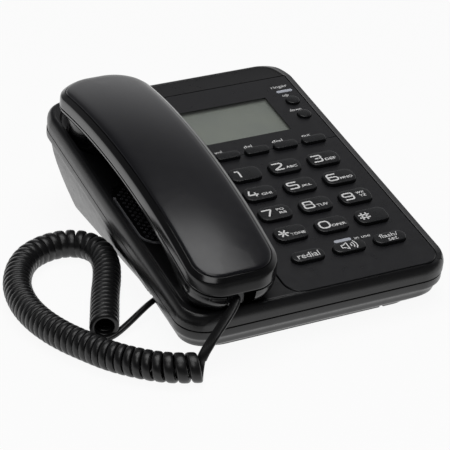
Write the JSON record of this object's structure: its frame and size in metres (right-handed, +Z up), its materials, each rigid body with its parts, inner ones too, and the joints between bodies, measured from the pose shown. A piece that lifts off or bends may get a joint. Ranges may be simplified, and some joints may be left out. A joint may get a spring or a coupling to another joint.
{
  "type": "corded telephone",
  "caption": "Desk telephone: wedge case with push-button face and display, arched handset in a cradle on the left, joined by a curly cord.",
  "frame": {"origin": "on the floor, under the middle of the telephone without its cord", "axes": "+X to the user's right, +Y away from the user, along the case, +Z up"},
  "size_m": [0.2053, 0.2174, 0.0748],
  "materials": {
    "case_black": "satin moulded ABS",
    "face_black": "satin moulded ABS",
    "key_black": "satin moulded ABS with white print",
    "handset_black": "polished ABS",
    "handset_gloss": "high gloss ABS",
    "clear_lens": "clear acrylic",
    "lcd_grey": "grey-green liquid crystal",
    "light_white": "milky light guide",
    "silicone": "matt silicone",
    "board_green": "glass-fibre board",
    "speaker_steel": "pressed steel",
    "weight_steel": "plain steel",
    "screw_steel": "zinc plated",
    "microphone": "can",
    "inner_plastic": "moulded",
    "socket_black": "moulded",
    "plug_smoke": "smoky polycarbonate",
    "cord_black": "extruded PVC",
    "foot_rubber": "matt"
  },
  "bodies": {
    "base": {"lower_case": "case_black", "upper_case": "case_black", "face_plate": "face_black", "display_panel": "face_black", "display_lens": "clear_lens", "lcd_module": "lcd_grey", "key_mat": "silicone", "main_board": "board_green", "loudspeaker": "speaker_steel", "speaker_grille": "case_black", "ringer_light": "light_white", "in_use_light": "light_white", "hook_switch": "inner_plastic", "line_jack": "socket_black", "cord_jack": "socket_black", "base_microphone": "microphone", "rubber_feet": "foot_rubber", "case_screws": "screw_steel", "base_plug": "plug_smoke", "base_lead": "cord_black", "curly_cord": "cord_black", "handset_lead": "cord_black"},
    "handset": {"handset_cover": "handset_black", "handset_inlay": "handset_gloss", "handset_body": "handset_black", "handset_receiver": "speaker_steel", "handset_microphone": "microphone", "handset_weight": "weight_steel", "handset_jack": "socket_black", "handset_screws": "screw_steel", "handset_plug": "plug_smoke"},
    "hook_plunger": {"hook_plunger": "inner_plastic"},
    "key_1": {"key_1": "key_black"},
    "key_2": {"key_2": "key_black"},
    "key_3": {"key_3": "key_black"},
    "key_4": {"key_4": "key_black"},
    "key_5": {"key_5": "key_black"},
    "key_6": {"key_6": "key_black"},
    "key_7": {"key_7": "key_black"},
    "key_8": {"key_8": "key_black"},
    "key_9": {"key_9": "key_black"},
    "key_star": {"key_star": "key_black"},
    "key_0": {"key_0": "key_black"},
    "key_hash": {"key_hash": "key_black"},
    "redial_key": {"redial_key": "key_black"},
    "speaker_key": {"speaker_key": "key_black"},
    "flash_key": {"flash_key": "key_black"},
    "volume_key": {"volume_key": "key_black"},
    "delete_key": {"delete_key": "key_black"},
    "dial_key": {"dial_key": "key_black"},
    "out_key": {"out_key": "key_black"},
    "ringer_up_button": {"ringer_up_button": "key_black"},
    "ringer_down_button": {"ringer_down_button": "key_black"}
  },
  "joints": [
    {"name": "handset_lift", "type": "slide", "parent": "base", "child": "handset", "axis": [0, 0, 1], "range_m": [0, 0.06]},
    {"name": "hook_slide", "type": "slide", "parent": "base", "child": "hook_plunger", "axis": [0, -0.1685, 0.9857], "range_m": [0, 0.004]},
    {"name": "key_1_press", "type": "slide", "parent": "base", "child": "key_1", "axis": [0, 0.1685, -0.9857], "range_m": [0, 0.0012], "stiffness_N_per_m": 250, "springref_m": -0.0012},
    {"name": "key_2_press", "type": "slide", "parent": "base", "child": "key_2", "axis": [0, 0.1685, -0.9857], "range_m": [0, 0.0012], "stiffness_N_per_m": 250, "springref_m": -0.0012},
    {"name": "key_3_press", "type": "slide", "parent": "base", "child": "key_3", "axis": [0, 0.1685, -0.9857], "range_m": [0, 0.0012], "stiffness_N_per_m": 250, "springref_m": -0.0012},
    {"name": "key_4_press", "type": "slide", "parent": "base", "child": "key_4", "axis": [0, 0.1685, -0.9857], "range_m": [0, 0.0012], "stiffness_N_per_m": 250, "springref_m": -0.0012},
    {"name": "key_5_press", "type": "slide", "parent": "base", "child": "key_5", "axis": [0, 0.1685, -0.9857], "range_m": [0, 0.0012], "stiffness_N_per_m": 250, "springref_m": -0.0012},
    {"name": "key_6_press", "type": "slide", "parent": "base", "child": "key_6", "axis": [0, 0.1685, -0.9857], "range_m": [0, 0.0012], "stiffness_N_per_m": 250, "springref_m": -0.0012},
    {"name": "key_7_press", "type": "slide", "parent": "base", "child": "key_7", "axis": [0, 0.1685, -0.9857], "range_m": [0, 0.0012], "stiffness_N_per_m": 250, "springref_m": -0.0012},
    {"name": "key_8_press", "type": "slide", "parent": "base", "child": "key_8", "axis": [0, 0.1685, -0.9857], "range_m": [0, 0.0012], "stiffness_N_per_m": 250, "springref_m": -0.0012},
    {"name": "key_9_press", "type": "slide", "parent": "base", "child": "key_9", "axis": [0, 0.1685, -0.9857], "range_m": [0, 0.0012], "stiffness_N_per_m": 250, "springref_m": -0.0012},
    {"name": "key_star_press", "type": "slide", "parent": "base", "child": "key_star", "axis": [0, 0.1685, -0.9857], "range_m": [0, 0.0012], "stiffness_N_per_m": 250, "springref_m": -0.0012},
    {"name": "key_0_press", "type": "slide", "parent": "base", "child": "key_0", "axis": [0, 0.1685, -0.9857], "range_m": [0, 0.0012], "stiffness_N_per_m": 250, "springref_m": -0.0012},
    {"name": "key_hash_press", "type": "slide", "parent": "base", "child": "key_hash", "axis": [0, 0.1685, -0.9857], "range_m": [0, 0.0012], "stiffness_N_per_m": 250, "springref_m": -0.0012},
    {"name": "redial_key_press", "type": "slide", "parent": "base", "child": "redial_key", "axis": [0, 0.1685, -0.9857], "range_m": [0, 0.0012], "stiffness_N_per_m": 250, "springref_m": -0.0012},
    {"name": "speaker_key_press", "type": "slide", "parent": "base", "child": "speaker_key", "axis": [0, 0.1685, -0.9857], "range_m": [0, 0.0012], "stiffness_N_per_m": 250, "springref_m": -0.0012},
    {"name": "flash_key_press", "type": "slide", "parent": "base", "child": "flash_key", "axis": [0, 0.1685, -0.9857], "range_m": [0, 0.0012], "stiffness_N_per_m": 250, "springref_m": -0.0012},
    {"name": "volume_key_press", "type": "slide", "parent": "base", "child": "volume_key", "axis": [0, 0.1685, -0.9857], "range_m": [0, 0.0012], "stiffness_N_per_m": 250, "springref_m": -0.0012},
    {"name": "delete_key_press", "type": "slide", "parent": "base", "child": "delete_key", "axis": [0, 0.1685, -0.9857], "range_m": [0, 0.0012], "stiffness_N_per_m": 250, "springref_m": -0.0012},
    {"name": "dial_key_press", "type": "slide", "parent": "base", "child": "dial_key", "axis": [0, 0.1685, -0.9857], "range_m": [0, 0.0012], "stiffness_N_per_m": 250, "springref_m": -0.0012},
    {"name": "out_key_press", "type": "slide", "parent": "base", "child": "out_key", "axis": [0, 0.1685, -0.9857], "range_m": [0, 0.0012], "stiffness_N_per_m": 250, "springref_m": -0.0012},
    {"name": "ringer_up_button_press", "type": "slide", "parent": "base", "child": "ringer_up_button", "axis": [0, 0.1685, -0.9857], "range_m": [0, 0.0012], "stiffness_N_per_m": 250, "springref_m": -0.0012},
    {"name": "ringer_down_button_press", "type": "slide", "parent": "base", "child": "ringer_down_button", "axis": [0, 0.1685, -0.9857], "range_m": [0, 0.0012], "stiffness_N_per_m": 250, "springref_m": -0.0012}
  ],
  "couplings": [
    {"joint": "hook_slide", "follows": "handset_lift", "ratio": 0.0666}
  ]
}
